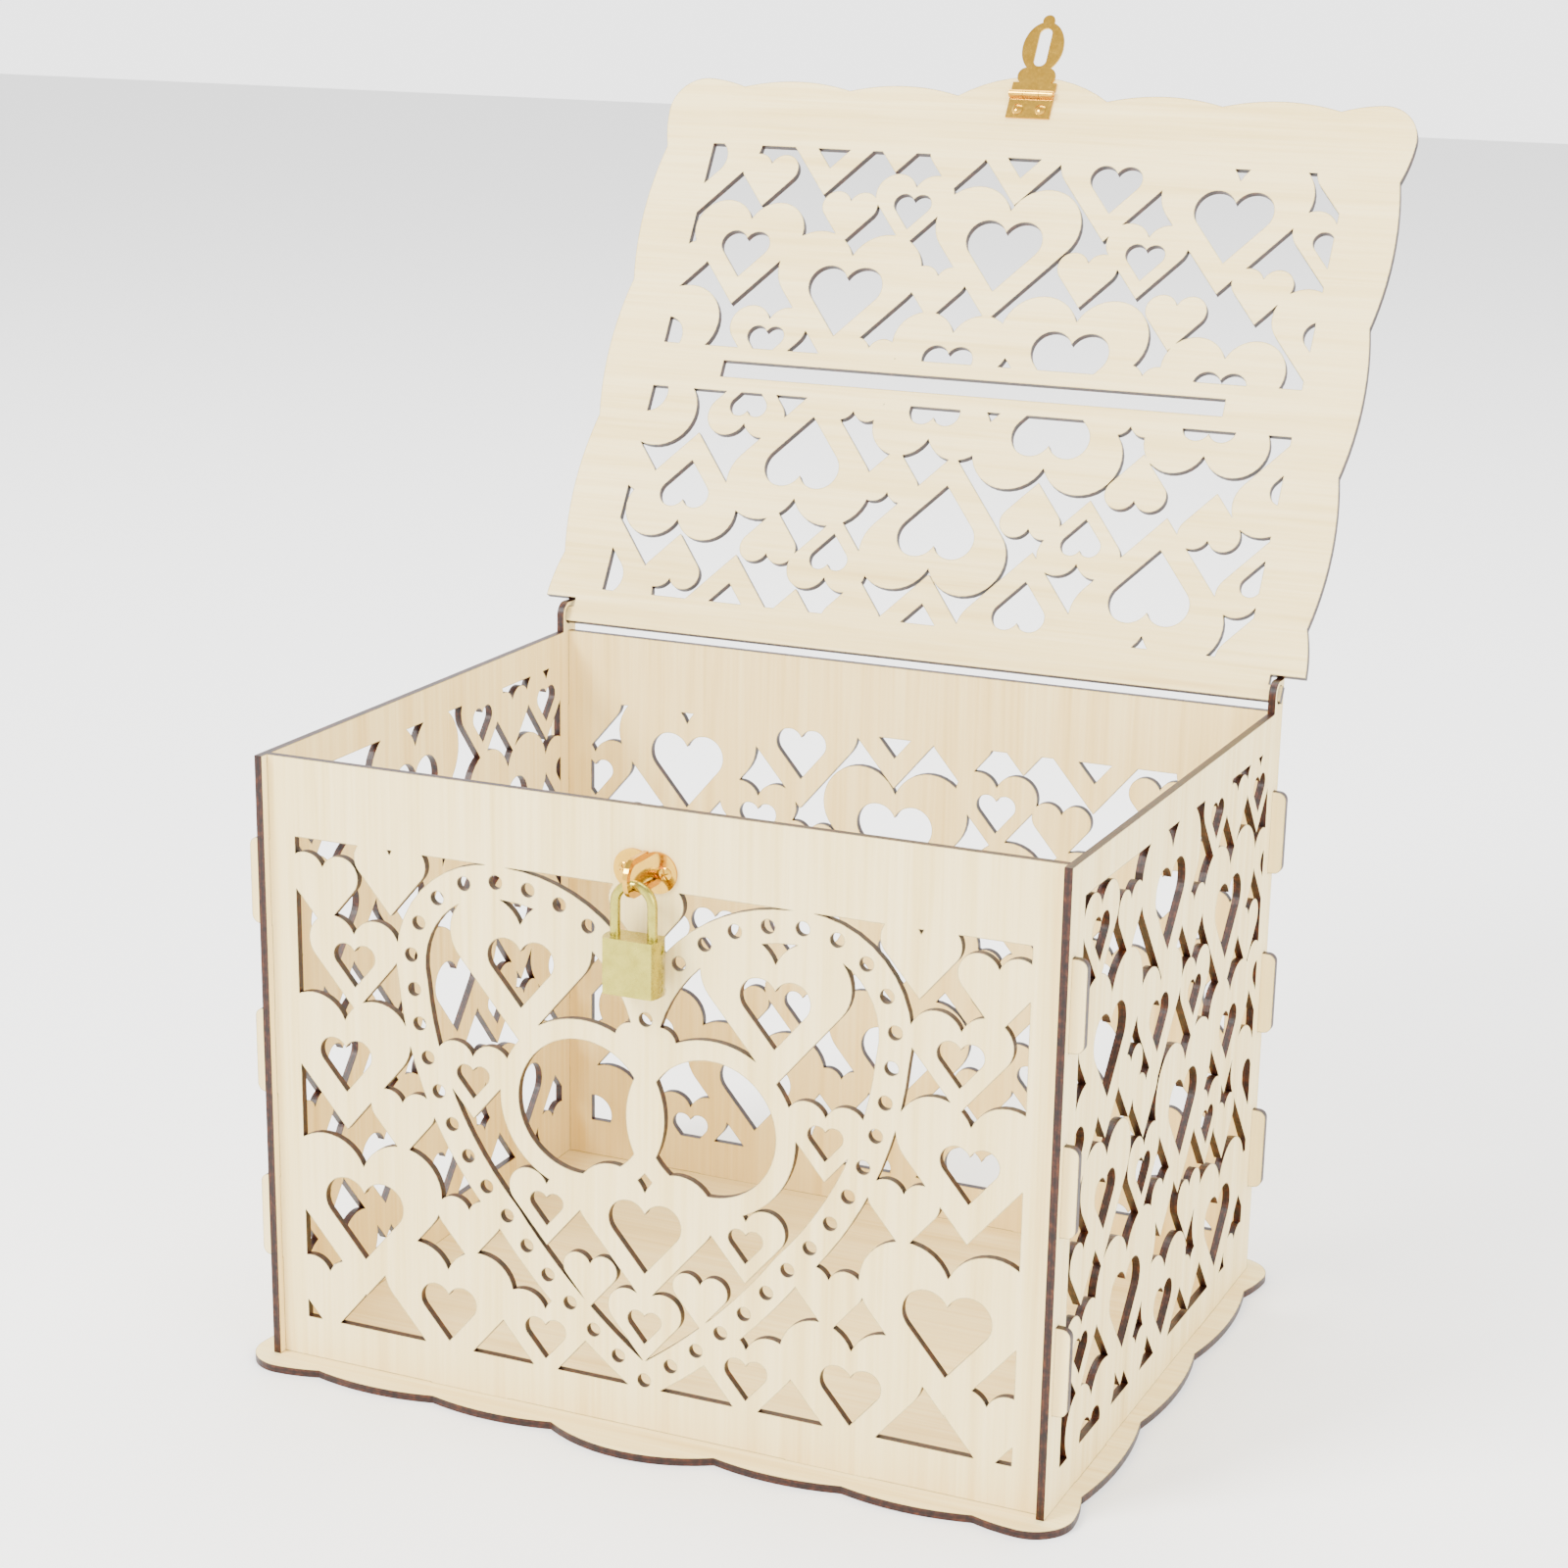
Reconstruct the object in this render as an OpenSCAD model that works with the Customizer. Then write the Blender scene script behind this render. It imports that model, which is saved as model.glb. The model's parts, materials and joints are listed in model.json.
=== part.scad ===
// Wedding card box: a fretwork box of laser-cut plywood on a scalloped base, with a lid that swings on
// two flat pins, a card slot in the lid, and a brass hasp, staple and small padlock that close it.
// Origin: centre of the base plate's underside. X is the width, +Y points to the hinge, +Z is up.

/* [Plywood] */
// Thickness of every plywood panel
sheet_t = 2.7; // [2.4:0.1:3.2]
// Width of the laser's cut, which frees every joint and slot
kerf = 0.15; // [0.1:0.01:0.2]

/* [Box] */
// Clear width between the two side panels
box_w = 278; // [220:1:340]
// Depth of the side panels, front to back
box_d = 222; // [180:1:270]
// Height of the walls above the base plate
box_h = 214; // [170:1:260]
// How far the front and back panels stand inside the side panels' edges
setback = 3.3; // [2:0.1:6]
// Solid border of the front and back panels, left and right of the fretwork
front_side_band = 10; // [8:1:16]
// Solid border above the front and back fretwork
front_top_band = 27; // [22:1:34]
// Solid border below the front and back fretwork
front_foot_band = 15; // [12:1:20]
// Solid border around the side panels' fretwork
side_band = 13; // [11:1:20]

/* [Tabs] */
// Length of each locking tab
tab_len = 30; // [20:1:36]
// Distance between the tabs up the sides
tab_pitch = 60; // [50:1:66]
// How far the side tabs stand out of the side panels
tab_reach = 5; // [0:0.5:7]
// Corner radius of the tabs that stand out
tab_round = 3; // [1:0.5:4]
// Distance of the foot tabs from the middle of each panel
foot_tab_at = 66; // [40:1:80]

/* [Base and lid outline] */
// Overhang of the base plate past the side panels
side_overhang = 8.3; // [6:0.1:14]
// Overhang of the base plate past the side panels' front and back edges
end_overhang = 9; // [6:0.5:14]
// Depth of the scallops along the edges
scallop_rise = 3; // [2:0.5:5]
// Extra rise of the wide scallop in the middle of the front edge
crown_rise = 6; // [2:0.5:9]
// Width of the wide scallop in the middle of the front edge
crown_w = 60; // [40:1:80]
// Size of the lobe at each corner
lobe = 30; // [24:1:36]
// Radius that rounds the corner of each lobe
lobe_r = 14; // [10:1:18]

/* [Lid and hinge] */
// Width of the two flat pins that the lid turns on
pin_w = 6; // [5:0.5:7]
// Clearance between a pin's corners and its hole
hinge_gap = 0.1; // [0.05:0.01:0.2]
// Height of the hinge axis above the walls
hinge_rise = 6; // [5:0.5:8]
// Distance of the hinge axis from the side panels' back edge
hinge_inset = 5; // [4.8:0.1:6]
// Wood left around the pin's hole in the ear
ear_wall = 1.6; // [1.4:0.1:2]
// Clearance between the ear and the notch in the lid
notch_gap = 1.5; // [1.2:0.1:2.5]
// How far past upright the open lid leans back
open_lean = 31; // [20:1:35]
// Length of the card slot
slot_len = 200; // [120:1:230]
// Width of the card slot
slot_w = 6.5; // [6:0.5:12]
// Distance of the card slot from the hinge axis
slot_at = 104.5; // [90:0.5:115]
// Plain wood between the card slot and the fretwork on each side
slot_band = 9.2; // [7:0.1:14]
// Plain wood beside the lid's fretwork
lid_side_band = 23; // [18:1:30]
// Plain wood between the lid's fretwork and the hinge axis
lid_back_band = 11; // [9:0.5:16]

/* [Hasp] */
// Thickness of the hasp's brass sheet
hasp_t = 0.8; // [0.6:0.1:1]
// Width of the hasp's fixed leaf
leaf_w = 17.5; // [16:0.5:22]
// Length of the hasp's fixed leaf
leaf_len = 8; // [7:0.5:12]
// Outer radius of the hasp's knuckles
knuckle_r = 1.5; // [1.3:0.1:2]
// Radius of the hasp's hinge pin
hasp_pin_r = 0.7; // [0.5:0.1:0.8]
// Length of the knuckle on the strap
mid_knuckle = 6.3; // [5:0.1:8]
// Length of the strap from the hasp's pin to its tip
strap_len = 33.5; // [33:0.5:38]
// Length of the slot in the strap
strap_slot_len = 16; // [15:0.5:18]
// Width of the slot in the strap
strap_slot_w = 5; // [4:0.5:6]
// Distance from the hasp's pin to the middle of that slot
strap_slot_at = 20; // [19:0.5:22]
// How far the closed strap leans in towards the box
strap_tuck = 15; // [10:1:16]

/* [Staple] */
// Thickness of the staple's plate
staple_t = 0.9; // [0.7:0.1:1.2]
// Radius of the plate's two round lobes
staple_lobe_r = 6.8; // [6:0.1:8]
// Distance of the staple's screws from its middle
staple_screw_at = 7.2; // [7:0.1:9]
// Thickness of the sheet that the staple's loop is cut from
loop_t = 1.6; // [1.4:0.1:2.2]
// Width of the loop's rim around its opening
loop_rim = 2.2; // [2:0.1:2.6]
// Height of the staple's loop
loop_h = 13; // [12:0.5:14]
// How far the staple's loop stands out of the front panel
loop_reach = 15; // [14.5:0.5:18]

/* [Screws] */
// Radius of the screw heads
screw_head_r = 2.1; // [1.9:0.1:2.4]
// Height of the screw heads
screw_head_h = 0.8; // [0.6:0.1:1]
// Radius of the screws' shanks
screw_r = 0.9; // [0.8:0.1:1]
// Length of the screws under their heads
screw_len = 3; // [2.5:0.1:3.2]

/* [Padlock] */
// Width of the padlock's case
case_w = 19.5; // [19:0.5:24]
// Thickness of the padlock's case
case_t = 10; // [10:0.5:11]
// Height of the padlock's case
case_h = 18.5; // [18.5:0.5:24]
// Radius of the shackle's rod
rod_r = 1.65; // [1.6:0.05:1.7]
// Distance between the middles of the shackle's legs
leg_pitch = 13; // [13:0.1:13.2]
// Height of the shackle above the case
shackle_h = 18.5; // [18:0.5:26]
// Running clearance of the padlock's moving pieces
run_gap = 0.08; // [0.05:0.01:0.1]
// How far the case drops off the open shackle
case_drop = 8; // [7.8:0.1:8]

/* [Hidden] */

PLY = [0.94, 0.89, 0.78];
BRASS = [0.86, 0.70, 0.34];
PALE_BRASS = [0.80, 0.76, 0.52];
STEEL = [0.72, 0.72, 0.74];

fit = 0.02;          // press-fit clearance that keeps two seated pieces apart
through = 1;         // how far a cutter runs past a face
overlap = 0.8;       // how far joined outlines run into each other
arc_steps = 12;      // chords along one scallop
lobe_steps = 20;     // chords along one lobe of a heart
round_fn = 48;

// Walls and base
wall_top = sheet_t + box_h;
side_x = box_w / 2;
front_face_y = -box_d / 2 + setback;
base_w = box_w + 2 * (sheet_t + side_overhang);
base_d = box_d + 2 * end_overhang;
tab_mid = box_h / 2 + 3;
foot_shy = 0.1;      // the foot tabs stop just short of the base's underside
tab_rows = [-1, 0, 1];
edge_x = base_w / 2;
edge_y = base_d / 2;
side_scallops = 3;
end_window_size = [box_w - 2 * front_side_band, box_h - front_top_band - front_foot_band];
side_window_size = [box_d - 2 * side_band, box_h - 2 * side_band + 1];
lid_window_size = [base_w - 2 * lid_side_band, slot_at - slot_band - lid_back_band];

// Hinge: lid_up runs from the hinge to the lid's front edge, lid_back points to the outside of the lid
hinge_y = box_d / 2 - hinge_inset;
hinge_z = wall_top + hinge_rise;
pin_corner_r = norm([pin_w, sheet_t]) / 2;
hinge_hole_r = pin_corner_r + hinge_gap;
ear_r = hinge_hole_r + ear_wall;
notch_at = ear_r + notch_gap;
tongue_w = box_w - 3.2;
pin_reach = 1;       // how far the pins show outside the ears
stop_gap = 0.1;      // gap between the open lid and the ears' back corners
stop_out = sheet_t / 2 + stop_gap;
lid_up = [sin(open_lean), cos(open_lean)];
lid_back = [cos(open_lean), -sin(open_lean)];
closed_slope = asin((hinge_rise - sheet_t / 2) / (hinge_y + box_d / 2));

// Hasp, in the lid's own plane: distances from the hinge axis
cusp_y = base_d / 2 - scallop_rise;
hasp_axis_at = hinge_y + cusp_y + 1;
leaf_from = hasp_axis_at - knuckle_r - leaf_len;
leaf_screw_x = 4.6;
leaf_screw_at = leaf_from + leaf_len / 2 - 0.5;
pin_show = 0.4;      // how far the hasp's pin shows past its knuckles
knuckle_gap = 0.15;
bar_h = 3.4;         // strap's bar beside the knuckles
bead_r = 3.4;        // rounded ends of the strap's bead
bead_w = 15.2;
bead_at = 6.2;       // middle of the bead from the bar's lower edge
oval_w = 16.4;
oval_h = 21.2;
tip_r = 2.4;
strap_lift = 0.05;   // gap between the resting strap and the lid
screw_dome_r = 4;
cross_len = 1.3 * screw_head_r;
cross_w = 0.5;
cross_floor = screw_head_h * 0.35;
cross_turn = 20;

// Staple: the strap's slot comes down over the loop when the lid is shut
closed_axis_z = hinge_z - hasp_axis_at * sin(closed_slope) - (sheet_t / 2 + knuckle_r) * cos(closed_slope);
staple_z = closed_axis_z - strap_slot_at * cos(strap_tuck);
loop_r = (loop_h - loop_rim) / 2;
lobe_inset = 3;      // how far each lobe's middle stands inside its screw
loop_arc_y = front_face_y - loop_reach + loop_rim / 2 + loop_r;

// Padlock: hangs on the loop's lower leg, its own origin is the middle of the case's underside
hang_gap = 0.1;
rod_y = loop_arc_y;
rod_z = staple_z - loop_r + loop_rim / 2 + rod_r + hang_gap;
bend_r = leg_pitch / 2;
case_z = rod_z + rod_r - shackle_h - case_h;
heel_x = -leg_pitch / 2;
toe_x = leg_pitch / 2;
bore_r = rod_r + run_gap;
heel_bore_floor = 2.4;
heel_end = 3.2;
collar_h = 1.2;
neck_r = 1.3;
neck_top = 14;
toe_bore_floor = 11;
toe_end = 12.6;
plug_r = 3.4;
plug_len = 10.9;
cam_r = 2.4;
cam_top = 13.4;
cam_pin_r = 0.8;
cam_throw = sqrt(2);
bolt_r = 1.5;
bolt_z = 15.5;
bolt_back = -3.6;
bolt_tip = 4.1;
bolt_travel = 2;     // the bolt's travel for a quarter turn of the plug
bolt_bore_end = -4.4;
stop_pin_r = 0.5;
stop_pin_z = neck_top - stop_pin_r - 0.1;
stop_pin_side = 0.05;     // gap beside the stop pin and the plug's retainer
pin_blind = 1.5;     // case left in front of the pins' blind ends
pin_recess = 0.1;    // how far the pressed-in pins stand below the case's skin
retainer_z = 9.4;
groove_r = 2.9;
groove_w = 1.3;
case_side_r = 11;    // radius of the case's rounded sides
keyway_w = 1.2;
keyway_top = 0.8;
keyway_foot = -2.4;
keyway_len = 9;
plug_sink = 0.1;     // how far the plug's face stands inside the case
cam_pin_rise = 1.7;
cam_slot_gap = 0.12; // play of the cam's pin in the bolt's slot
latch_depth = 1.3;   // how deep the bolt enters the shackle's leg
latch_gap = 0.15;
spring_seat = 1.2;   // depth of the spring's seat in the bolt
spring_seat_r = 1;
cam_slot_from = 0.05;
cam_slot_h = 1.3;
end_gap = 0.02;      // gap at a coil spring's ends
driver_end = 5.6;
driver_spring_end = 8.9;
bore_plug_sink = 0.35;
cap_sink = 0.15;
chamber_r = 0.9;
chamber_z = [2.4, 4.8, 7.2];
key_pin_r = 0.8;
key_pin_from = 1;
key_pin_end = 3.25;

// ---- Curves -------------------------------------------------------------------------------------------

// Points of an arc from p towards q that bulges to the right of the way by rise; q itself is left out
function bulge(p, q, rise, steps = arc_steps) =
    let (run = q - p,
         len = norm(run),
         along = run / len,
         out = [along.y, -along.x],
         half = 2 * atan(2 * rise / len),
         radius = len / 2 / sin(half))
    [for (i = [0 : steps - 1])
        let (turn = half * (2 * i / steps - 1))
        p + along * (len / 2 + radius * sin(turn)) + out * radius * (cos(turn) - cos(half))];

// Closed or open outline from a list of [corner, rise of the arc to the next corner]
function arcs(corners, last) =
    [for (i = [0 : last]) each bulge(corners[i][0], corners[(i + 1) % len(corners)][0], corners[i][1])];

function mirror_x(list) = [for (i = [len(list) - 1 : -1 : 0]) [-list[i].x, list[i].y]];

// ---- Hearts -------------------------------------------------------------------------------------------

// A heart is two round lobes and two straight flanks that meet at the tip; all of it scales with its width
heart_lobe = 0.26;
heart_side = 0.24;
heart_drop = 0.685;
heart_hole_lift = 0.45;   // height of a heart's inner tip, as a share of the difference of the widths

// Heart of width w standing on its tip at p
function heart_points(p, w) =
    let (r = heart_lobe * w,
         c = heart_side * w,
         h = heart_drop * w,
         flank = atan2(c, h) + asin(r / norm([c, h])),
         notch = 180 - acos(c / r),
         lobe_arc = [for (i = [0 : lobe_steps])
             let (a = -flank + (notch + flank) * i / lobe_steps)
             [c + r * cos(a), h + r * sin(a)]],
         right = [for (q = lobe_arc) p + q],
         left = [for (q = mirror_x(lobe_arc)) p + q])
    concat([p], right, [for (i = [1 : len(left) - 1]) left[i]]);

module heart(p, w) {
    polygon(heart_points(p, w));
}

// Fretwork that fills a window: solid hearts of [x, tip, width, width of the hole], placed from the middle
// of the window's lower edge and laid out for a window of the size plan
module heart_field(hearts, window, plan) {
    spread = [window.x / plan.x, window.y / plan.y];
    grow = max(spread);
    for (h = hearts)
        heart([h[0] * spread.x, h[1] * spread.y], h[2] * grow);
}

module heart_holes(hearts, window, plan) {
    spread = [window.x / plan.x, window.y / plan.y];
    grow = max(spread);
    for (h = hearts)
        if (h[3] > 0)
            heart([h[0] * spread.x, h[1] * spread.y + heart_hole_lift * (h[2] - h[3]) * grow], h[3] * grow);
}

// The openings left in a window by a field of hearts
module fretwork_cut(hearts, window, plan) {
    difference() {
        translate([-window.x / 2, 0])
            square(window);
        heart_field(hearts, window, plan);
    }
    intersection() {
        translate([-window.x / 2, 0])
            square(window);
        heart_holes(hearts, window, plan);
    }
}

// Half of the lid's fretwork, measured from its edge beside the card slot
lid_plan = [254, 84.5];
lid_hearts = [
    [-135, 45.5, 58, 30], [-75.5, 65, 46, 20], [-24, 69.5, 23.5, 0], [2.7, 65, 46, 20], [132, 63, 32, 0],
    [-100.3, 59, 23.5, 0], [-48.2, 76, 23.5, 0], [40.5, 52.5, 46, 20], [88, 34.5, 58, 30], [127.3, 39.5, 32, 15],
    [-63.5, 45.5, 23, 0], [-38, 45.5, 32, 15], [58, 30.5, 32, 15], [-128.5, 21, 23.5, 0], [-103, 17.5, 46, 20],
    [2, 17.5, 58, 30], [36.9, 25.5, 23.5, 0], [104.5, 23.5, 23.5, 0], [-57.5, -5.5, 59, 30], [-21, 16.5, 23.5, 0],
    [74.3, 11, 23.5, 0], [133.5, -4.5, 46, 20], [-135.3, -30.5, 58, 30], [-85.3, -12.5, 32, 15],
    [-42, -14.5, 23.5, 0], [-9.7, -24.5, 47, 20], [37.5, -25.5, 58, 30], [67, -17.5, 23.5, 0],
    [96.5, -27, 47, 20]];

// Fretwork of the side panels, with Y across: large, middle and small ring hearts, then solid hearts
side_plan = [196, 189];
side_hearts = [
    [-67.8, 100.9, 62, 31], [-11.8, 133.3, 62, 31], [56.2, 110.5, 61, 30], [15.2, 52, 62, 31],
    [-38.8, 3, 62, 31], [66, -8.4, 61, 30.5],
    [-17.2, 101.5, 47, 20], [65.2, 71.5, 49, 20], [-65.2, 56, 49, 20], [4.8, -9.5, 49, 20],
    [-69.2, -25.5, 49, 20], [97.8, 43, 50, 20], [-98.8, 82.9, 46, 20],
    [-81.8, 155.5, 34, 16], [37.2, 164, 32, 14], [86.8, 161.5, 31, 14], [21.6, 105.8, 33, 14.5],
    [-26, 58.3, 33, 15], [46, 51.4, 32, 14], [-82.8, 17.5, 33, 14], [102.2, 129.5, 34, 15], [101, 89, 33, 15],
    [-84.2, 50, 25, 0], [-52.8, 156.5, 25, 0], [-44.8, 100.1, 24.5, 0], [-27.8, 87.1, 26, 0],
    [-2.2, 42.5, 24.5, 0], [28.8, 29.5, 26, 0], [35.2, 0.5, 24.5, 0], [-23.8, -6.8, 24.5, 0],
    [15.6, 136.3, 26, 0], [83, 113.7, 24.5, 0], [67.2, 46.2, 24.5, 0], [60.2, 163.3, 25.5, 0],
    [90.2, -12.8, 25, 0], [103.2, 10.5, 30, 0]];

// Fretwork of the back panel: the lid's pattern twice, one above the other
back_plan = [258, 172];
back_row = 88;       // height of the upper copy above the lower one
back_hearts = [for (row = [0, 1], h = lid_hearts) [(1 - 2 * row) * h[0], h[1] + back_row * row, h[2], h[3]]];

// Fretwork of the front panel, outside the big dotted heart: one half and its mirror image, and a middle heart
front_plan = [258, 172];
front_half_hearts = [
    [105.7, 12, 60.5, 30], [73.5, -11, 50, 21], [36.7, -5.5, 34, 15], [120, -4.5, 29.5, 0],
    [111.5, 71.8, 50, 19.5], [107.3, 114.5, 34.5, 15.5], [118.8, 142, 27, 0], [93.2, 149.5, 27, 0],
    [90, 66, 24.5, 0], [65.2, 32.5, 24, 0]];
front_hearts = [each front_half_hearts, for (h = front_half_hearts) [-h[0], h[1], h[2], h[3]], [0, 149.5, 26.5, 0]];

// The big heart's band follows the line of its dots, from the tip up the right side to the notch
band_w = 11.2;
dot_d = 4.6;
dots_per_half = 24;
band_half = [[[0, 2.5], 3], [[51, 52], 7], [[85, 128.5], 13.3], [[50.5, 166.5], 10.3], [[0, 128.5], 0]];
band_line = concat(arcs(band_half, len(band_half) - 2), [band_half[len(band_half) - 1][0]]);
band_loop = concat(band_line, mirror_x([for (i = [1 : len(band_line) - 2]) band_line[i]]));

// Point at distance s along the open path pts, looked for from its piece i on
function along_path(pts, s, i = 0) =
    let (step = norm(pts[i + 1] - pts[i]))
    s <= step || i >= len(pts) - 2
        ? pts[i] + (pts[i + 1] - pts[i]) * s / step
        : along_path(pts, s - step, i + 1);

function path_length(pts, i = 0) =
    i < len(pts) - 1 ? norm(pts[i + 1] - pts[i]) + path_length(pts, i + 1) : 0;

module band_dots() {
    pitch = path_length(band_line) / dots_per_half;
    for (side = [-1, 1], i = [0 : dots_per_half]) {
        p = along_path(band_line, i * pitch);
        if (side > 0 || (i > 0 && i < dots_per_half))
            translate([side * p.x, p.y])
                circle(d = dot_d, $fn = 24);
    }
}

// Inside the big heart: two linked rings held by hearts that reach the band
medal_ring_r = 30;
medal_ring_w = 7;
medal_ring_at = [23, 95];
medal_hearts = [
    [-45, 113, 52, 24], [45, 113, 52, 24], [0, 106, 22, 0], [-63, 84, 28, 12], [63, 84, 28, 12],
    [0, 30, 50, 26], [-36, 44, 28, 12], [36, 44, 28, 12], [0, 9, 27, 12], [-20, 25, 20, 0], [20, 25, 20, 0]];

module medal() {
    difference() {
        union() {
            heart_field(medal_hearts, front_plan, front_plan);
            for (side = [-1, 1])
                translate([side * medal_ring_at.x, medal_ring_at.y])
                    difference() {
                        circle(medal_ring_r, $fn = 72);
                        circle(medal_ring_r - medal_ring_w, $fn = 72);
                    }
        }
        heart_holes(medal_hearts, front_plan, front_plan);
    }
}

// Openings of the front panel's window: the big heart keeps its shape and the field around it spreads
module front_cut(window, plan) {
    grow = min(window.x / plan.x, window.y / plan.y);
    difference() {
        fretwork_cut(front_hearts, window, plan);
        scale([grow, grow])
            offset(delta = band_w / 2)
                polygon(band_loop);
    }
    scale([grow, grow]) {
        difference() {
            offset(delta = -band_w / 2)
                polygon(band_loop);
            medal();
        }
        band_dots();
    }
}

// ---- Plywood panels -----------------------------------------------------------------------------------

// Everything cut from the sheet loses half the cut's width along every edge
module laser_cut() {
    linear_extrude(sheet_t)
        offset(delta = -kerf / 2)
            children();
}

module side_tabs() {
    for (side = [-1, 1], row = tab_rows)
        translate([side * side_x, tab_mid + row * tab_pitch])
            rounded_tab(sheet_t + tab_reach);
}

// Tab that runs reach past the panel's edge on both sides of it, so that it is centred on that edge
module rounded_tab(reach) {
    across = [2 * (reach - tab_round), tab_len];
    tall = [2 * reach, tab_len - 2 * tab_round];
    square(across, center = true);
    square(tall, center = true);
    for (x = [-1, 1], z = [-1, 1])
        translate([x * (reach - tab_round), z * (tab_len / 2 - tab_round)])
            circle(tab_round, $fn = 24);
}

module foot_tabs() {
    for (side = [-1, 1])
        translate([side * foot_tab_at - tab_len / 2, -sheet_t + foot_shy])
            square([tab_len, sheet_t + through]);
}

module end_panel_outline() {
    translate([-side_x, 0])
        square([box_w, box_h]);
    side_tabs();
    foot_tabs();
}

module front_panel() {
    color(PLY)
        translate([0, front_face_y + sheet_t, sheet_t])
            difference() {
                rotate([90, 0, 0])
                    laser_cut()
                        difference() {
                            end_panel_outline();
                            translate([0, front_foot_band])
                                front_cut(end_window_size, front_plan);
                        }
                for (side = [-1, 1])
                    translate([side * staple_screw_at, -sheet_t - through, staple_z - sheet_t])
                        rotate([-90, 0, 0])
                            cylinder(r = screw_r + fit, h = sheet_t + 2 * through, $fn = round_fn);
            }
}

module back_panel() {
    color(PLY)
        translate([0, -front_face_y, sheet_t])
            rotate([90, 0, 0])
                laser_cut()
                    difference() {
                        end_panel_outline();
                        translate([0, front_foot_band])
                            fretwork_cut(back_hearts, end_window_size, back_plan);
                    }
}

// Ear that carries the hinge hole: round in front, with a back corner that the open lid leans on
module ear_outline() {
    corner_z = (hinge_inset - stop_out * lid_back.x) / lid_up.x * lid_up.y + stop_out * lid_back.y;
    inner = notch_at * lid_up + stop_out * lid_back;
    translate([hinge_y, box_h + hinge_rise]) {
        circle(ear_r, $fn = round_fn);
        translate([-ear_r, -hinge_rise - through])
            square([ear_r + hinge_inset, hinge_rise + through]);
        polygon([[0, -through], [hinge_inset, -through], [hinge_inset, corner_z], inner, [0, ear_r]]);
    }
}

// Side panel seen from the right, with Y across and height up
module side_outline() {
    difference() {
        union() {
            translate([-box_d / 2, 0])
                square([box_d, box_h]);
            ear_outline();
            foot_tabs();
        }
        for (face = [front_face_y, -front_face_y - sheet_t], row = tab_rows)
            translate([face, tab_mid + row * tab_pitch - tab_len / 2])
                square([sheet_t, tab_len]);
        translate([0, side_band])
            fretwork_cut(side_hearts, side_window_size, side_plan);
    }
}

module side_panel(inner_x) {
    difference() {
        translate([inner_x, 0, sheet_t])
            rotate([90, 0, 90])
                laser_cut()
                    side_outline();
        translate([inner_x - through, hinge_y, hinge_z])
            rotate([0, 90, 0])
                cylinder(r = hinge_hole_r, h = sheet_t + 2 * through, $fn = round_fn);
    }
}

module left_panel() {
    color(PLY)
        side_panel(-side_x - sheet_t);
}

module right_panel() {
    color(PLY)
        side_panel(side_x);
}

// Front edge of the scalloped outline, from the left corner lobe to the right one
function front_corners() =
    let (y = -edge_y, in_y = scallop_rise - edge_y, split = (edge_x - lobe + crown_w / 2) / 2)
    [[[-edge_x, y + lobe_r], lobe_r * (1 - cos(45))], [[-edge_x + lobe_r, y], 0.6],
     [[-edge_x + lobe, in_y], scallop_rise], [[-split, in_y], scallop_rise],
     [[-crown_w / 2, in_y], scallop_rise + crown_rise], [[crown_w / 2, in_y], scallop_rise],
     [[split, in_y], scallop_rise], [[edge_x - lobe, in_y], 0.6],
     [[edge_x - lobe_r, y], lobe_r * (1 - cos(45))]];

// Right edge from the front lobe's corner to the cusp at last_y, with its scallops shared out evenly
function right_corners(last_y, count) =
    let (x = edge_x - scallop_rise, first_y = -edge_y + lobe)
    concat([[[edge_x, -edge_y + lobe_r], 0.6]],
           [for (i = [0 : count]) [[x, first_y + (last_y - first_y) * i / count], i < count ? scallop_rise : 0.6]]);

// Left edge: the right one walked the other way
function left_corners(last_y, count) =
    let (x = -edge_x + scallop_rise, first_y = -edge_y + lobe)
    [for (i = [count : -1 : 0]) [[x, first_y + (last_y - first_y) * i / count], i > 0 ? scallop_rise : 0.6]];

module base_outline() {
    half = concat(front_corners(), right_corners(edge_y - lobe, side_scallops));
    turned = [for (c = half) [-c[0], c[1]]];
    corners = concat(half, turned);
    polygon(arcs(corners, len(corners) - 1));
}

module base_plate() {
    color(PLY)
        laser_cut()
            difference() {
                base_outline();
                for (side = [-1, 1]) {
                    for (face = [front_face_y, -front_face_y - sheet_t])
                        translate([side * foot_tab_at - tab_len / 2, face])
                            square([tab_len, sheet_t]);
                    for (x = [-side_x - sheet_t, side_x])
                        translate([x, side * foot_tab_at - tab_len / 2])
                            square([sheet_t, tab_len]);
                }
            }
}

// Lid outline as it lies closed, with Y as in the box; the notches clear the ears
module lid_outline() {
    back_y = hinge_y - notch_at;
    last_y = back_y - lobe * 0.6;
    front = front_corners();
    right = right_corners(last_y, side_scallops);
    left = left_corners(last_y, side_scallops);
    scalloped = concat([[[-edge_x, back_y], 0.6]], left, front, right, [[[edge_x, back_y], 0]]);
    pin_x = side_x + sheet_t + pin_reach;
    pin_front = hinge_y - pin_w / 2;
    pin_rear = hinge_y + pin_w / 2;
    tail = [[edge_x, back_y], [tongue_w / 2, back_y], [tongue_w / 2, pin_front], [pin_x, pin_front],
            [pin_x, pin_rear]];
    polygon(concat(arcs(scalloped, len(scalloped) - 2), tail, mirror_x(tail)));
}

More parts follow.
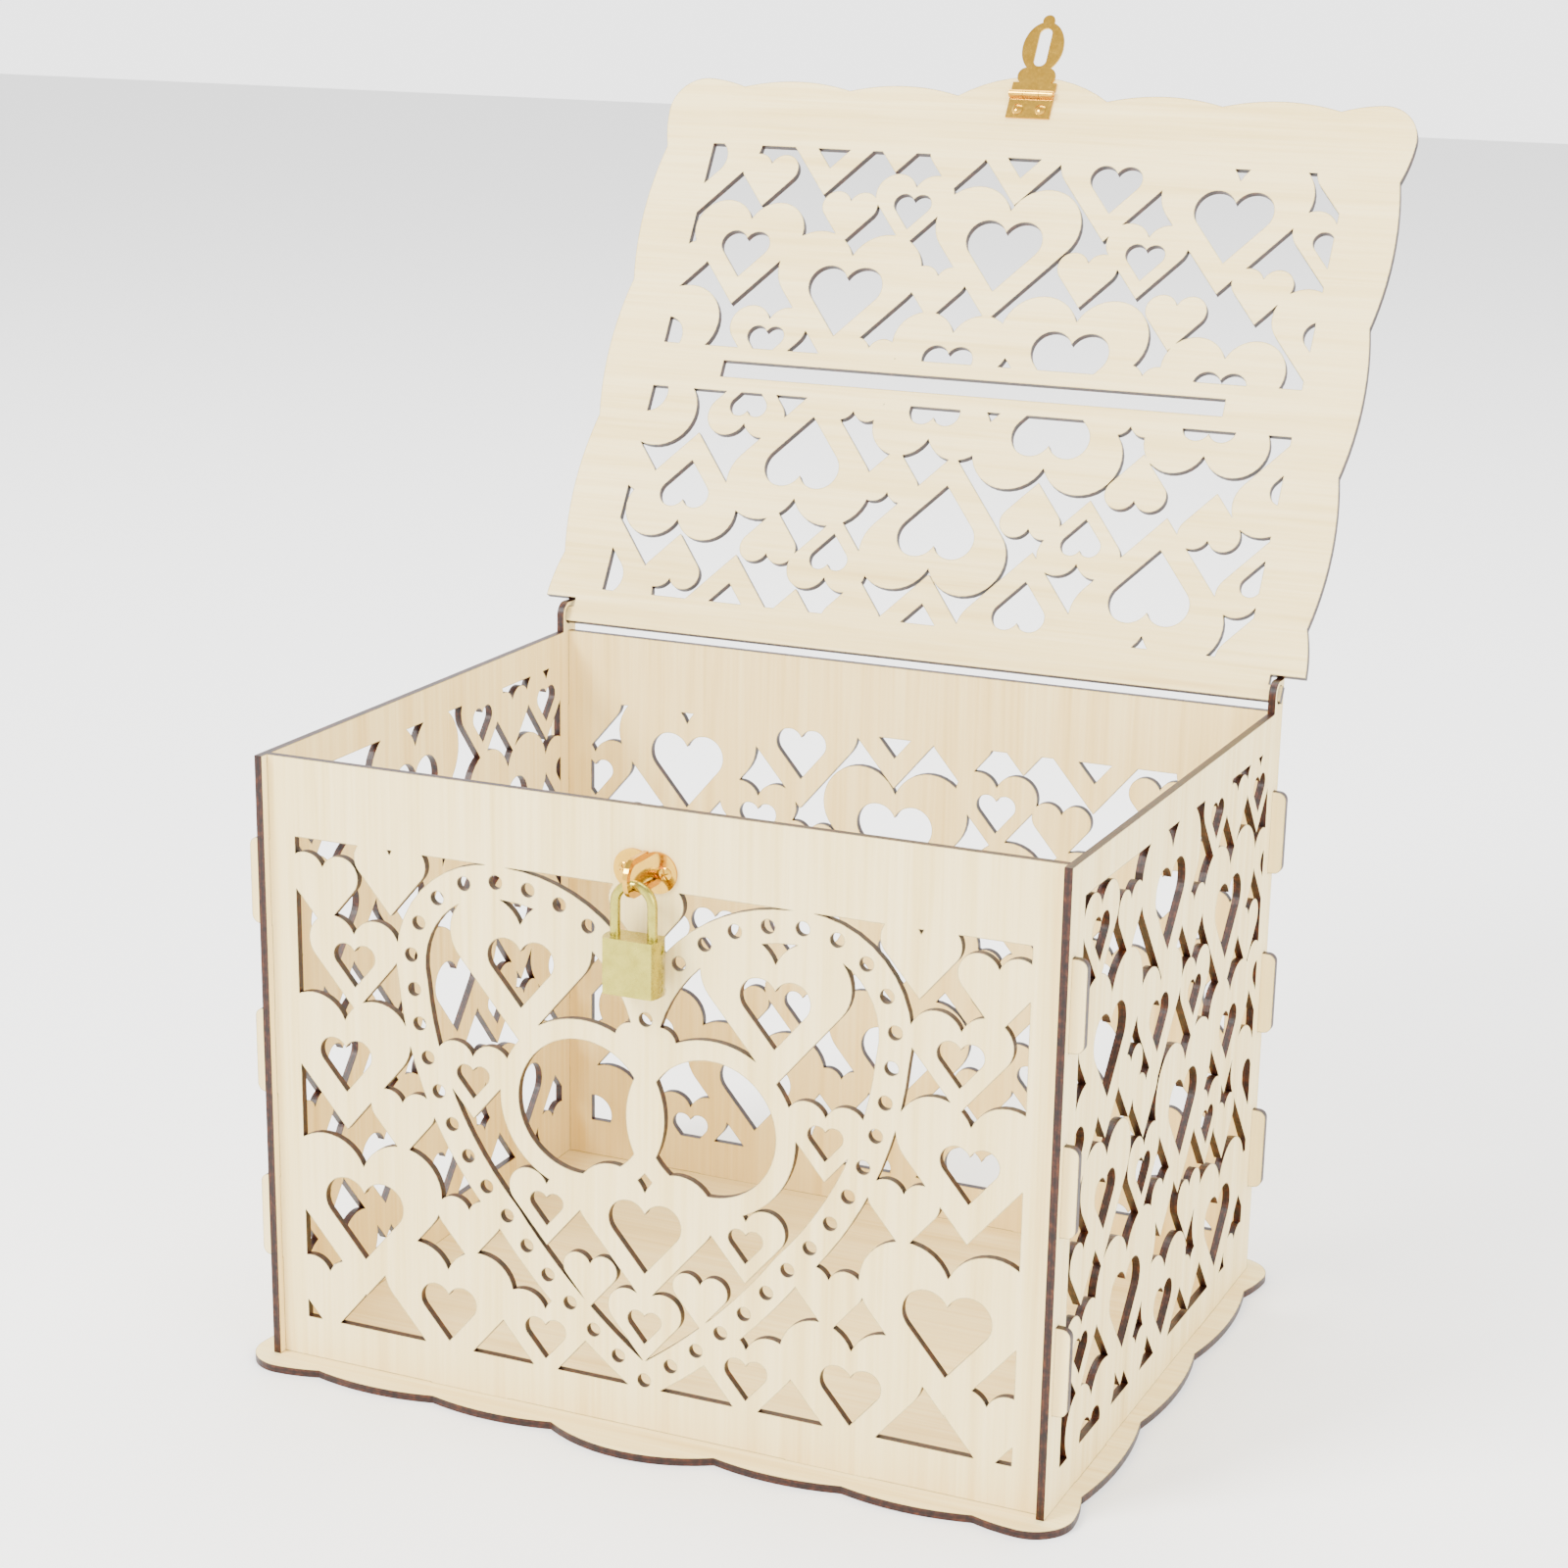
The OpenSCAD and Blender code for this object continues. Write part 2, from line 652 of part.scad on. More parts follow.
// Lid lying in its own plane: X across, Y from the hinge axis to the front edge
module lid_profile() {
    difference() {
        translate([0, hinge_y])
            mirror([0, 1])
                lid_outline();
        translate([0, slot_at]) {
            square([slot_len, slot_w], center = true);
            for (turn = [0, 1])
                mirror([0, turn])
                    translate([0, slot_band])
                        fretwork_cut(lid_hearts, lid_window_size, lid_plan);
        }
    }
}

// Carries a piece from the lid's own plane to the open lid; +Z there is the lid's inner face
module on_lid() {
    translate([0, hinge_y, hinge_z])
        rotate([90 - open_lean, 0, 0])
            translate([0, 0, sheet_t / 2])
                children();
}

module lid() {
    color(PLY)
        on_lid()
            difference() {
                translate([0, 0, -sheet_t])
                    laser_cut()
                        lid_profile();
                for (side = [-1, 1])
                    translate([side * leaf_screw_x, leaf_screw_at, -sheet_t - through])
                        cylinder(r = screw_r + fit, h = sheet_t + 2 * through, $fn = round_fn);
            }
}

// ---- Hasp ---------------------------------------------------------------------------------------------

// Screw with a low domed head and a crossed slot, seated at z = 0
module screw() {
    translate([0, 0, -screw_len])
        cylinder(r = screw_r, h = screw_len + screw_head_h / 2, $fn = round_fn);
    difference() {
        intersection() {
            cylinder(r = screw_head_r, h = screw_head_h, $fn = round_fn);
            translate([0, 0, screw_head_h - screw_dome_r])
                sphere(r = screw_dome_r, $fn = 64);
        }
        for (turn = [0, 90])
            rotate([0, 0, turn + cross_turn])
                translate([-cross_len / 2, -cross_w / 2, cross_floor])
                    cube([cross_len, cross_w, screw_head_h]);
    }
}

module hasp_screws() {
    color(BRASS)
        on_lid()
            for (side = [-1, 1])
                translate([side * leaf_screw_x, leaf_screw_at, hasp_t])
                    screw();
}

module hasp_knuckle(from_x, to_x) {
    translate([from_x, hasp_axis_at, knuckle_r])
        rotate([0, 90, 0])
            difference() {
                cylinder(r = knuckle_r, h = to_x - from_x, $fn = round_fn);
                translate([0, 0, -through])
                    cylinder(r = hasp_pin_r + run_gap / 2, h = to_x - from_x + 2 * through, $fn = round_fn);
            }
}

module hasp_leaf() {
    color(BRASS)
        on_lid() {
            difference() {
                union() {
                    translate([-leaf_w / 2, leaf_from, 0])
                        cube([leaf_w, leaf_len, hasp_t]);
                    for (side = [-1, 1])
                        translate([side * (leaf_w + mid_knuckle) / 4 - (leaf_w - mid_knuckle) / 4 + knuckle_gap / 2,
                                   leaf_from + leaf_len - through, 0])
                            cube([(leaf_w - mid_knuckle) / 2 - knuckle_gap, knuckle_r + through, hasp_t]);
                }
                translate([-leaf_w, hasp_axis_at, knuckle_r])
                    rotate([0, 90, 0])
                        cylinder(r = hasp_pin_r + run_gap / 2, h = 2 * leaf_w, $fn = round_fn);
                for (side = [-1, 1])
                    translate([side * leaf_screw_x, leaf_screw_at, -through])
                        cylinder(r = screw_r + fit, h = hasp_t + 2 * through, $fn = round_fn);
            }
            hasp_knuckle(-leaf_w / 2, -mid_knuckle / 2 - knuckle_gap);
            hasp_knuckle(mid_knuckle / 2 + knuckle_gap, leaf_w / 2);
        }
}

// Strap: a bar beside the knuckles, a waisted bead, then the slotted oval and its small tip
module strap_outline() {
    bar_from = knuckle_r + 2 * knuckle_gap;
    translate([-leaf_w / 2, bar_from])
        square([leaf_w, bar_h]);
    for (side = [-1, 1])
        translate([side * (bead_w / 2 - bead_r), bar_from + bead_at])
            circle(bead_r, $fn = 32);
    translate([bead_r - bead_w / 2, bar_from])
        square([bead_w - 2 * bead_r, strap_slot_at - oval_h / 2 + overlap - bar_from]);
    translate([0, strap_slot_at])
        scale([oval_w / oval_h, 1])
            circle(oval_h / 2, $fn = 64);
    translate([0, strap_len - tip_r])
        circle(tip_r, $fn = 32);
}

module strap_slot() {
    for (end = [-1, 1])
        translate([0, strap_slot_at + end * (strap_slot_len - strap_slot_w) / 2])
            circle(d = strap_slot_w, $fn = 32);
    translate([0, strap_slot_at])
        square([strap_slot_w, strap_slot_len - strap_slot_w], center = true);
}

module hasp_strap() {
    color(BRASS)
        on_lid() {
            translate([0, hasp_axis_at, strap_lift])
                linear_extrude(hasp_t)
                    difference() {
                        strap_outline();
                        strap_slot();
                    }
            difference() {
                translate([-mid_knuckle / 2, hasp_axis_at, strap_lift])
                    cube([mid_knuckle, knuckle_r + 1, hasp_t]);
                translate([-mid_knuckle, hasp_axis_at, knuckle_r])
                    rotate([0, 90, 0])
                        cylinder(r = hasp_pin_r + run_gap / 2, h = 2 * mid_knuckle, $fn = round_fn);
            }
            translate([0, 0, strap_lift / 2])
                hasp_knuckle(-mid_knuckle / 2, mid_knuckle / 2);
        }
}

module hasp_hinge_pin() {
    color(BRASS)
        on_lid()
            translate([-leaf_w / 2 - pin_show, hasp_axis_at, knuckle_r])
                rotate([0, 90, 0])
                    cylinder(r = hasp_pin_r, h = leaf_w + 2 * pin_show, $fn = round_fn);
}

// ---- Staple -------------------------------------------------------------------------------------------

module staple_plate() {
    color(BRASS)
        translate([0, front_face_y, staple_z])
            rotate([90, 0, 0])
                difference() {
                    linear_extrude(staple_t)
                        union() {
                            for (side = [-1, 1])
                                translate([side * (staple_screw_at - lobe_inset), 0])
                                    circle(staple_lobe_r, $fn = 64);
                        }
                    for (side = [-1, 1]) {
                        translate([side * staple_screw_at, 0, -through])
                            cylinder(r = screw_r + fit, h = staple_t + 2 * through, $fn = round_fn);
                        translate([-loop_t / 2 - fit, side * loop_r - loop_rim / 2 - fit, -through])
                            cube([loop_t + 2 * fit, loop_rim + 2 * fit, staple_t + 2 * through]);
                    }
                }
}

// Flat D-shaped loop that stands upright, with its two legs let into the plate
module staple_loop() {
    leg = front_face_y - loop_arc_y;
    color(BRASS)
        translate([-loop_t / 2, loop_arc_y, staple_z])
            rotate([90, 0, 90])
                linear_extrude(loop_t)
                    difference() {
                        union() {
                            circle(loop_h / 2, $fn = 96);
                            translate([0, -loop_h / 2])
                                square([leg, loop_h]);
                        }
                        circle(loop_h / 2 - loop_rim, $fn = 96);
                        translate([0, loop_rim - loop_h / 2])
                            square([leg + through, loop_h - 2 * loop_rim]);
                    }
}

module staple_screws() {
    color(BRASS)
        for (side = [-1, 1])
            translate([side * staple_screw_at, front_face_y - staple_t, staple_z])
                rotate([90, 0, 0])
                    screw();
}

// ---- Padlock ------------------------------------------------------------------------------------------

module at_padlock() {
    translate([0, rod_y, case_z])
        children();
}

module cross_bore(r, from_x, to_x, z) {
    translate([from_x, 0, z])
        rotate([0, 90, 0])
            cylinder(r = r, h = to_x - from_x, $fn = round_fn);
}

// Block with a flat front and back and gently rounded sides
module case_block(w, t) {
    intersection() {
        translate([-w / 2, -t / 2, 0])
            cube([w, t, case_h]);
        translate([w / 2 - case_side_r, 0, 0])
            cylinder(r = case_side_r, h = case_h, $fn = 180);
        translate([case_side_r - w / 2, 0, 0])
            cylinder(r = case_side_r, h = case_h, $fn = 180);
    }
}

module padlock_case() {
    color(PALE_BRASS)
        at_padlock()
            difference() {
                case_block(case_w, case_t);
                translate([heel_x, 0, heel_bore_floor])
                    cylinder(r = bore_r, h = case_h, $fn = round_fn);
                translate([toe_x, 0, toe_bore_floor])
                    cylinder(r = bore_r, h = case_h, $fn = round_fn);
                translate([0, 0, -through])
                    cylinder(r = plug_r + run_gap / 2, h = plug_len + through + run_gap, $fn = round_fn);
                cylinder(r = cam_r + run_gap, h = bolt_z, $fn = round_fn);
                cross_bore(bolt_r + run_gap / 2, bolt_bore_end, case_w, bolt_z);
                for (z = chamber_z)
                    cross_bore(chamber_r, 0, case_w, z);
                stop_pin_bore(stop_pin_r + fit);
                retainer_bore(stop_pin_r + fit);
            }
}

// Short pin from the back that holds the heel leg by its neck
module stop_pin_bore(r) {
    translate([heel_x + neck_r + stop_pin_r + stop_pin_side, pin_blind - case_t / 2, stop_pin_z])
        rotate([-90, 0, 0])
            cylinder(r = r, h = case_t - pin_blind, $fn = 32);
}

// Short pin from the back that runs in the plug's groove
module retainer_bore(r) {
    translate([-groove_r - stop_pin_r - stop_pin_side, pin_blind - case_t / 2, retainer_z])
        rotate([-90, 0, 0])
            cylinder(r = r, h = case_t - pin_blind, $fn = 32);
}

module padlock_shackle_stop_pin() {
    color(STEEL)
        at_padlock()
            intersection() {
                stop_pin_bore(stop_pin_r);
                case_block(case_w - 2 * pin_recess, case_t - 2 * pin_recess);
            }
}

module padlock_plug_retainer() {
    color(STEEL)
        at_padlock()
            intersection() {
                retainer_bore(stop_pin_r);
                case_block(case_w - 2 * pin_recess, case_t - 2 * pin_recess);
            }
}

module padlock_shackle() {
    bend_z = case_h + shackle_h - rod_r - bend_r;
    color(PALE_BRASS)
        at_padlock() {
            difference() {
                union() {
                    translate([heel_x, 0, neck_top])
                        cylinder(r = rod_r, h = bend_z - neck_top, $fn = round_fn);
                    translate([heel_x, 0, heel_end])
                        cylinder(r = neck_r, h = neck_top - heel_end + 1, $fn = round_fn);
                    translate([heel_x, 0, heel_end])
                        cylinder(r = rod_r, h = collar_h, $fn = round_fn);
                    translate([toe_x, 0, toe_end])
                        cylinder(r = rod_r, h = bend_z - toe_end, $fn = round_fn);
                }
                translate([toe_x - rod_r - through, -rod_r - through, bolt_z - bolt_r - latch_gap])
                    cube([through + latch_depth, 2 * (rod_r + through), 2 * (bolt_r + latch_gap)]);
            }
            translate([0, 0, bend_z])
                rotate([90, 0, 0])
                    rotate_extrude(angle = 180, $fn = 96)
                        translate([bend_r, 0])
                            circle(rod_r, $fn = round_fn);
        }
}

// Key plug, drawn at its open position: a quarter turn back runs the bolt out
module padlock_key_plug() {
    color(BRASS)
        at_padlock() {
            difference() {
                union() {
                    translate([0, 0, plug_sink])
                        cylinder(r = plug_r, h = plug_len - plug_sink, $fn = round_fn);
                    translate([0, 0, plug_sink])
                        cylinder(r = cam_r, h = cam_top - plug_sink, $fn = round_fn);
                    rotate([0, 0, 135])
                        translate([cam_throw, 0, cam_top - through])
                            cylinder(r = cam_pin_r, h = through + cam_pin_rise, $fn = 32);
                }
                translate([-keyway_w / 2, keyway_foot, -through])
                    cube([keyway_w, keyway_top - keyway_foot, keyway_len + through]);
                for (z = chamber_z)
                    translate([0, 0, z])
                        rotate([-90, 0, 0])
                            cylinder(r = chamber_r, h = 2 * plug_r, $fn = round_fn);
                translate([0, 0, retainer_z - groove_w / 2])
                    difference() {
                        cylinder(r = plug_r + through, h = groove_w, $fn = round_fn);
                        cylinder(r = groove_r, h = groove_w, $fn = round_fn);
                    }
            }
        }
}

module padlock_latch_bolt() {
    color(BRASS)
        at_padlock()
            difference() {
                cross_bore(bolt_r, bolt_back, bolt_tip, bolt_z);
                cross_bore(spring_seat_r, bolt_back - through, bolt_back + spring_seat, bolt_z);
                translate([-cam_throw * cos(45) - cam_pin_r - cam_slot_gap, cam_slot_from, bolt_z - bolt_r - through])
                    cube([2 * (cam_pin_r + cam_slot_gap), bolt_r + through, through + cam_slot_h]);
            }
}

// Ring stack that stands for a coil spring along X
module coil_spring(from_x, to_x, r, wire_r, turns, z) {
    step = (to_x - from_x - 2 * wire_r) / (turns - 1);
    for (i = [0 : turns - 1])
        translate([from_x + wire_r + i * step, 0, z])
            rotate([0, 90, 0])
                rotate_extrude($fn = 32)
                    translate([r - wire_r, 0])
                        circle(wire_r, $fn = 16);
    for (side = [-1, 1])
        translate([from_x + wire_r, 0, z + side * (r - wire_r)])
            rotate([0, 90, 0])
                cylinder(r = wire_r * 0.6, h = to_x - from_x - 2 * wire_r, $fn = 16);
}

module padlock_latch_spring() {
    color(STEEL)
        at_padlock()
            coil_spring(bolt_bore_end + end_gap, bolt_back + spring_seat - end_gap, 0.9, 0.18, 4, bolt_z);
}

module padlock_bolt_bore_plug() {
    color(PALE_BRASS)
        at_padlock()
            cross_bore(bolt_r + run_gap / 2 - fit, toe_x + bore_r + 0.1, case_w / 2 - bore_plug_sink, bolt_z);
}

module padlock_key_pins() {
    color(BRASS)
        at_padlock()
            for (z = chamber_z)
                translate([0, key_pin_from, z])
                    rotate([-90, 0, 0])
                        cylinder(r = key_pin_r, h = key_pin_end - key_pin_from, $fn = 32);
}

module padlock_driver_pins() {
    color(BRASS)
        at_padlock()
            for (z = chamber_z)
                cross_bore(key_pin_r, plug_r + 0.12, driver_end, z);
}

module padlock_driver_springs() {
    color(STEEL)
        at_padlock()
            for (z = chamber_z)
                coil_spring(driver_end + end_gap, driver_spring_end, 0.75, 0.13, 5, z);
}

module padlock_chamber_caps() {
    color(PALE_BRASS)
        at_padlock()
            for (z = chamber_z)
                cross_bore(chamber_r - fit, driver_spring_end + 0.05, case_w / 2 - cap_sink, z);
}

base_plate();
front_panel();
back_panel();
left_panel();
right_panel();
lid();
hasp_leaf();
hasp_strap();
hasp_hinge_pin();
hasp_screws();
staple_plate();
staple_loop();
staple_screws();
padlock_case();
padlock_shackle();
padlock_key_plug();
padlock_latch_bolt();
padlock_latch_spring();
padlock_bolt_bore_plug();
padlock_shackle_stop_pin();
padlock_plug_retainer();
padlock_key_pins();
padlock_driver_pins();
padlock_driver_springs();
padlock_chamber_caps();
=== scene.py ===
"""Wedding card box: bare plywood fretwork with laser-burnt edges, a brass hasp and a small brushed padlock."""
import json
import math

import bpy
from mathutils import Matrix, Vector

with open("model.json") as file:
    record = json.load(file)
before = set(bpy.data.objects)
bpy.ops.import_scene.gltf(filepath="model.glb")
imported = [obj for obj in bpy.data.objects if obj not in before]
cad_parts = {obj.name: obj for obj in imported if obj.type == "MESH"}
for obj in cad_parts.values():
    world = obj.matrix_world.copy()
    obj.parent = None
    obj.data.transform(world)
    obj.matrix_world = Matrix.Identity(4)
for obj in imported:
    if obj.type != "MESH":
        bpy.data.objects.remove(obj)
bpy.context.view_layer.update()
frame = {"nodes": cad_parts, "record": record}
nodes = frame["nodes"]

# ---- Camera: the photograph's viewing angle, from in front, to the right and a little above ---------------
camera_place = Vector((0.4410, -0.9986, 0.4923))
camera_azimuth = 24.21
camera_elevation = 17.82
camera_roll = 0.87
camera_lens = 75.87
camera_shift = (0.0137, 0.1004)


def make_camera():
    """Camera whose turn comes from its azimuth, elevation and roll."""
    data = bpy.data.cameras.new("camera")
    data.sensor_width = 36
    data.lens = camera_lens
    data.shift_x, data.shift_y = camera_shift
    camera = bpy.data.objects.new("camera", data)
    turn = (
        Matrix.Rotation(math.radians(camera_azimuth), 4, "Z")
        @ Matrix.Rotation(math.radians(90 - camera_elevation), 4, "X")
        @ Matrix.Rotation(math.radians(camera_roll), 4, "Z")
    )
    camera.matrix_world = Matrix.Translation(camera_place) @ turn
    bpy.context.scene.collection.objects.link(camera)
    bpy.context.scene.camera = camera


make_camera()

# ---- Small helpers for materials --------------------------------------------------------------------------


def colour(red, green, blue):
    """Linear colour with alpha from 0 to 255 values as they look on a screen."""
    linear = []
    for value in (red, green, blue):
        share = value / 255
        linear.append(share / 12.92 if share <= 0.04045 else ((share + 0.055) / 1.055) ** 2.4)
    return (*linear, 1)


class Shader:
    """One node material; each call adds a node and returns the socket that carries its result."""

    def __init__(self, name):
        self.material = bpy.data.materials.new(name)
        self.material.use_nodes = True
        self.tree = self.material.node_tree
        self.surface = self.tree.nodes["Principled BSDF"]

    def add(self, kind, **settings):
        node = self.tree.nodes.new(kind)
        for key, value in settings.items():
            setattr(node, key, value)
        return node

    def join(self, source, socket):
        if hasattr(source, "links"):
            self.tree.links.new(source, socket)
        else:
            socket.default_value = source

    def position(self):
        return self.add("ShaderNodeTexCoord").outputs["Object"]

    def vector(self, operation, first, second):
        """Vector arithmetic; a dot product gives a number."""
        node = self.add("ShaderNodeVectorMath", operation=operation)
        self.join(first, node.inputs[0])
        self.join(second, node.inputs[1])
        return node.outputs["Value" if operation == "DOT_PRODUCT" else "Vector"]

    def math(self, operation, first, second=0.0):
        node = self.add("ShaderNodeMath", operation=operation)
        for value, socket in zip((first, second), node.inputs):
            self.join(value, socket)
        return node.outputs[0]

    def stretched(self, turn, scale):
        """Positions turned by three angles in degrees and then scaled along each axis."""
        rotated = self.add("ShaderNodeMapping", vector_type="TEXTURE")
        self.join(self.position(), rotated.inputs["Vector"])
        rotated.inputs["Rotation"].default_value = [math.radians(angle) for angle in turn]
        return self.vector("MULTIPLY", rotated.outputs["Vector"], scale)

    def noise(self, where, scale, detail=4.0, roughness=0.5, distortion=0.0):
        node = self.add("ShaderNodeTexNoise")
        self.join(where, node.inputs["Vector"])
        node.inputs["Scale"].default_value = scale
        node.inputs["Detail"].default_value = detail
        node.inputs["Roughness"].default_value = roughness
        node.inputs["Distortion"].default_value = distortion
        return node.outputs["Fac"]

    def ramp(self, source, stops):
        """Colours or grey levels at given places from 0 to 1."""
        node = self.add("ShaderNodeValToRGB")
        self.join(source, node.inputs["Fac"])
        elements = node.color_ramp.elements
        while len(elements) < len(stops):
            elements.new(1.0)
        for element, (place, value) in zip(elements, stops):
            element.position = place
            element.color = value if isinstance(value, tuple) else (value, value, value, 1)
        return node.outputs["Color"]

    def mix(self, share, first, second, blend="MIX"):
        node = self.add("ShaderNodeMix", data_type="RGBA", blend_type=blend)
        colours = [socket for socket in node.inputs if socket.type == "RGBA"]
        self.join(share, node.inputs["Factor"])
        self.join(first, colours[0])
        self.join(second, colours[1])
        return [socket for socket in node.outputs if socket.type == "RGBA"][0]

    def bump(self, height, strength, distance):
        node = self.add("ShaderNodeBump")
        self.join(height, node.inputs["Height"])
        node.inputs["Strength"].default_value = strength
        node.inputs["Distance"].default_value = distance
        self.tree.links.new(node.outputs["Normal"], self.surface.inputs["Normal"])


def dress(node, material):
    """Gives a CAD node one material."""
    data = nodes[node].data
    data.materials.clear()
    data.materials.append(material)


# ---- Plywood ----------------------------------------------------------------------------------------------
face_light = colour(244, 223, 164)
face_mid = colour(236, 210, 142)
face_dark = colour(218, 186, 114)
burn_dark = colour(20, 7, 3)
burn_mid = colour(52, 21, 8)
burn_light = colour(96, 48, 18)
scorch = colour(40, 16, 6)
rim_width = 0.0006
# Brightness through the sheet: scorched skins, pale outer plies and a darker core
ply_layers = [(0.0, 0.25), (0.10, 0.85), (0.32, 0.95), (0.36, 0.45), (0.64, 0.5), (0.68, 0.95), (0.90, 0.85),
              (1.0, 0.25)]
edge_limit = 0.7    # a face turned further than this from the panel's normal is a cut edge
band_share = 0.22   # width of the veneer's fine streaks over that of its broad bands
pore_share = 2.2    # width of the streaks over that of the pores


def panel_normal(node):
    """Direction square to the largest flat face of a panel."""
    face = max(nodes[node].data.polygons, key=lambda polygon: polygon.area)
    return face.normal.copy()


def plywood(node, grain, seed):
    """Pale veneer on a panel's two broad faces, burnt ply layers on every cut edge."""
    shader = Shader("plywood_" + node)
    facing = panel_normal(node)
    where = shader.vector("ADD", shader.position(), (seed, seed, seed))
    streaks = shader.noise(shader.vector("MULTIPLY", where, grain), 1.0, 6.0, 0.6, 0.3)
    broad_grain = [axis * band_share for axis in grain]
    bands = shader.noise(shader.vector("MULTIPLY", where, broad_grain), 1.0, 3.0, 0.5, 0.8)
    clouds = shader.noise(where, 18.0, 3.0, 0.5)
    fine_grain = [axis * pore_share for axis in grain]
    pores = shader.noise(shader.vector("MULTIPLY", where, fine_grain), 1.0, 2.0, 0.7)
    veneer = shader.ramp(streaks, [(0.25, face_dark), (0.47, face_mid), (0.62, face_light)])
    broad = shader.ramp(bands, [(0.30, face_dark), (0.46, face_mid), (0.60, face_light)])
    face = shader.mix(0.55, veneer, broad)
    face = shader.mix(shader.ramp(clouds, [(0.35, 0.0), (0.75, 0.35)]), face, face_light)
    face = shader.mix(shader.ramp(pores, [(0.66, 0.0), (0.80, 0.35)]), face, face_dark)

    # Depth through the sheet, from 0 on one face to 1 on the other, gives the three plies on a cut edge
    depths = [vertex.co.dot(facing) for vertex in nodes[node].data.vertices]
    low, high = min(depths), max(depths)
    depth = shader.vector("DOT_PRODUCT", shader.position(), facing)
    depth = shader.math("DIVIDE", shader.math("SUBTRACT", depth, low), high - low)
    smoke = shader.noise(where, 420.0, 4.0, 0.65)
    burnt = shader.ramp(smoke, [(0.32, burn_dark), (0.52, burn_mid), (0.78, burn_light)])
    plies = shader.ramp(depth, ply_layers)
    burnt = shader.mix(1.0, burnt, plies, "MULTIPLY")

    normal = shader.add("ShaderNodeTexCoord").outputs["Normal"]
    square = shader.math("ABSOLUTE", shader.vector("DOT_PRODUCT", normal, facing))
    is_edge = shader.math("LESS_THAN", square, edge_limit)

    # A thin scorched rim on the faces where they meet a cut edge
    bevel = shader.add("ShaderNodeBevel", samples=4)
    bevel.inputs["Radius"].default_value = rim_width
    true_normal = shader.add("ShaderNodeNewGeometry").outputs["Normal"]
    leaning = shader.vector("DOT_PRODUCT", bevel.outputs["Normal"], true_normal)
    rim = shader.ramp(leaning, [(0.86, 0.95), (0.995, 0.0)])
    face = shader.mix(rim, face, scorch)

    look = shader.mix(is_edge, face, burnt)
    shader.join(look, shader.surface.inputs["Base Color"])
    gloss = shader.mix(is_edge, shader.ramp(streaks, [(0.3, 0.68), (0.7, 0.56)]), (0.42, 0.42, 0.42, 1))
    shader.join(gloss, shader.surface.inputs["Roughness"])
    shader.surface.inputs["Specular IOR Level"].default_value = 0.32
    shader.bump(shader.math("ADD", streaks, shader.math("MULTIPLY", pores, 0.6)), 0.22, 0.00025)
    return shader.material


upright = (520.0, 520.0, 14.0)      # noise scale along each axis for grain that runs up and down
sideways = (14.0, 520.0, 520.0)     # the same for grain that runs from side to side
seed_step = 0.37                    # shifts the grain from panel to panel
panel_grain = {
    "base_plate": sideways,
    "front_panel": upright,
    "back_panel": upright,
    "left_panel": upright,
    "right_panel": upright,
    "lid": sideways,
}
for count, (node, grain) in enumerate(panel_grain.items()):
    dress(node, plywood(node, grain, seed_step * (count + 1)))

# ---- Brass and steel --------------------------------------------------------------------------------------


def metal(name, base, tint, rough, scratch_scale, scratch_depth, hatch=False):
    """Bare metal with fine scratches, or with two crossed sets of brush marks where hatch is set."""
    shader = Shader(name)
    where = shader.position()
    cloud = shader.noise(where, 260.0, 4.0, 0.55)
    shader.join(shader.mix(shader.ramp(cloud, [(0.35, 0.0), (0.70, 0.5)]), base, tint),
                shader.surface.inputs["Base Color"])
    shader.surface.inputs["Metallic"].default_value = 1.0
    if hatch:
        one = shader.noise(shader.stretched((0, 45, 0), (scratch_scale, scratch_scale, 180.0)), 1.0, 3.0, 0.6)
        other = shader.noise(shader.stretched((0, -45, 0), (scratch_scale, scratch_scale, 180.0)), 1.0, 3.0, 0.6)
        marks = shader.math("MAXIMUM", one, other)
    else:
        marks = shader.noise(shader.stretched((0, 12, 8), (scratch_scale, scratch_scale * 0.1, scratch_scale)),
                             1.0, 3.0, 0.6)
    shader.join(shader.ramp(marks, [(0.35, rough * 0.7), (0.75, rough * 1.5)]), shader.surface.inputs["Roughness"])
    shader.bump(marks, scratch_depth, 0.0001)
    return shader.material


metals = {
    "polished_brass": metal("polished_brass", colour(212, 166, 62), colour(186, 138, 38), 0.12, 900.0, 0.06),
    "brushed_brass": metal("brushed_brass", colour(180, 170, 78), colour(140, 130, 46), 0.24, 2600.0, 0.55, True),
    "turned_brass": metal("turned_brass", colour(214, 180, 100), colour(190, 150, 72), 0.24, 1400.0, 0.2),
    "steel": metal("steel", colour(186, 188, 192), colour(150, 152, 158), 0.28, 1600.0, 0.2),
}
for part in frame["record"]["subparts"]:
    if part["material_slot"] in metals:
        dress(part["node"], metals[part["material_slot"]])

rounded = {"padlock_case": 0.0005, "hasp_leaf": 0.00015, "staple_plate": 0.0002}
for node, width in rounded.items():
    softened = nodes[node].modifiers.new("soft_edges", "BEVEL")
    softened.width = width
    softened.segments = 3
    softened.limit_method = "ANGLE"
    softened.angle_limit = math.radians(40)

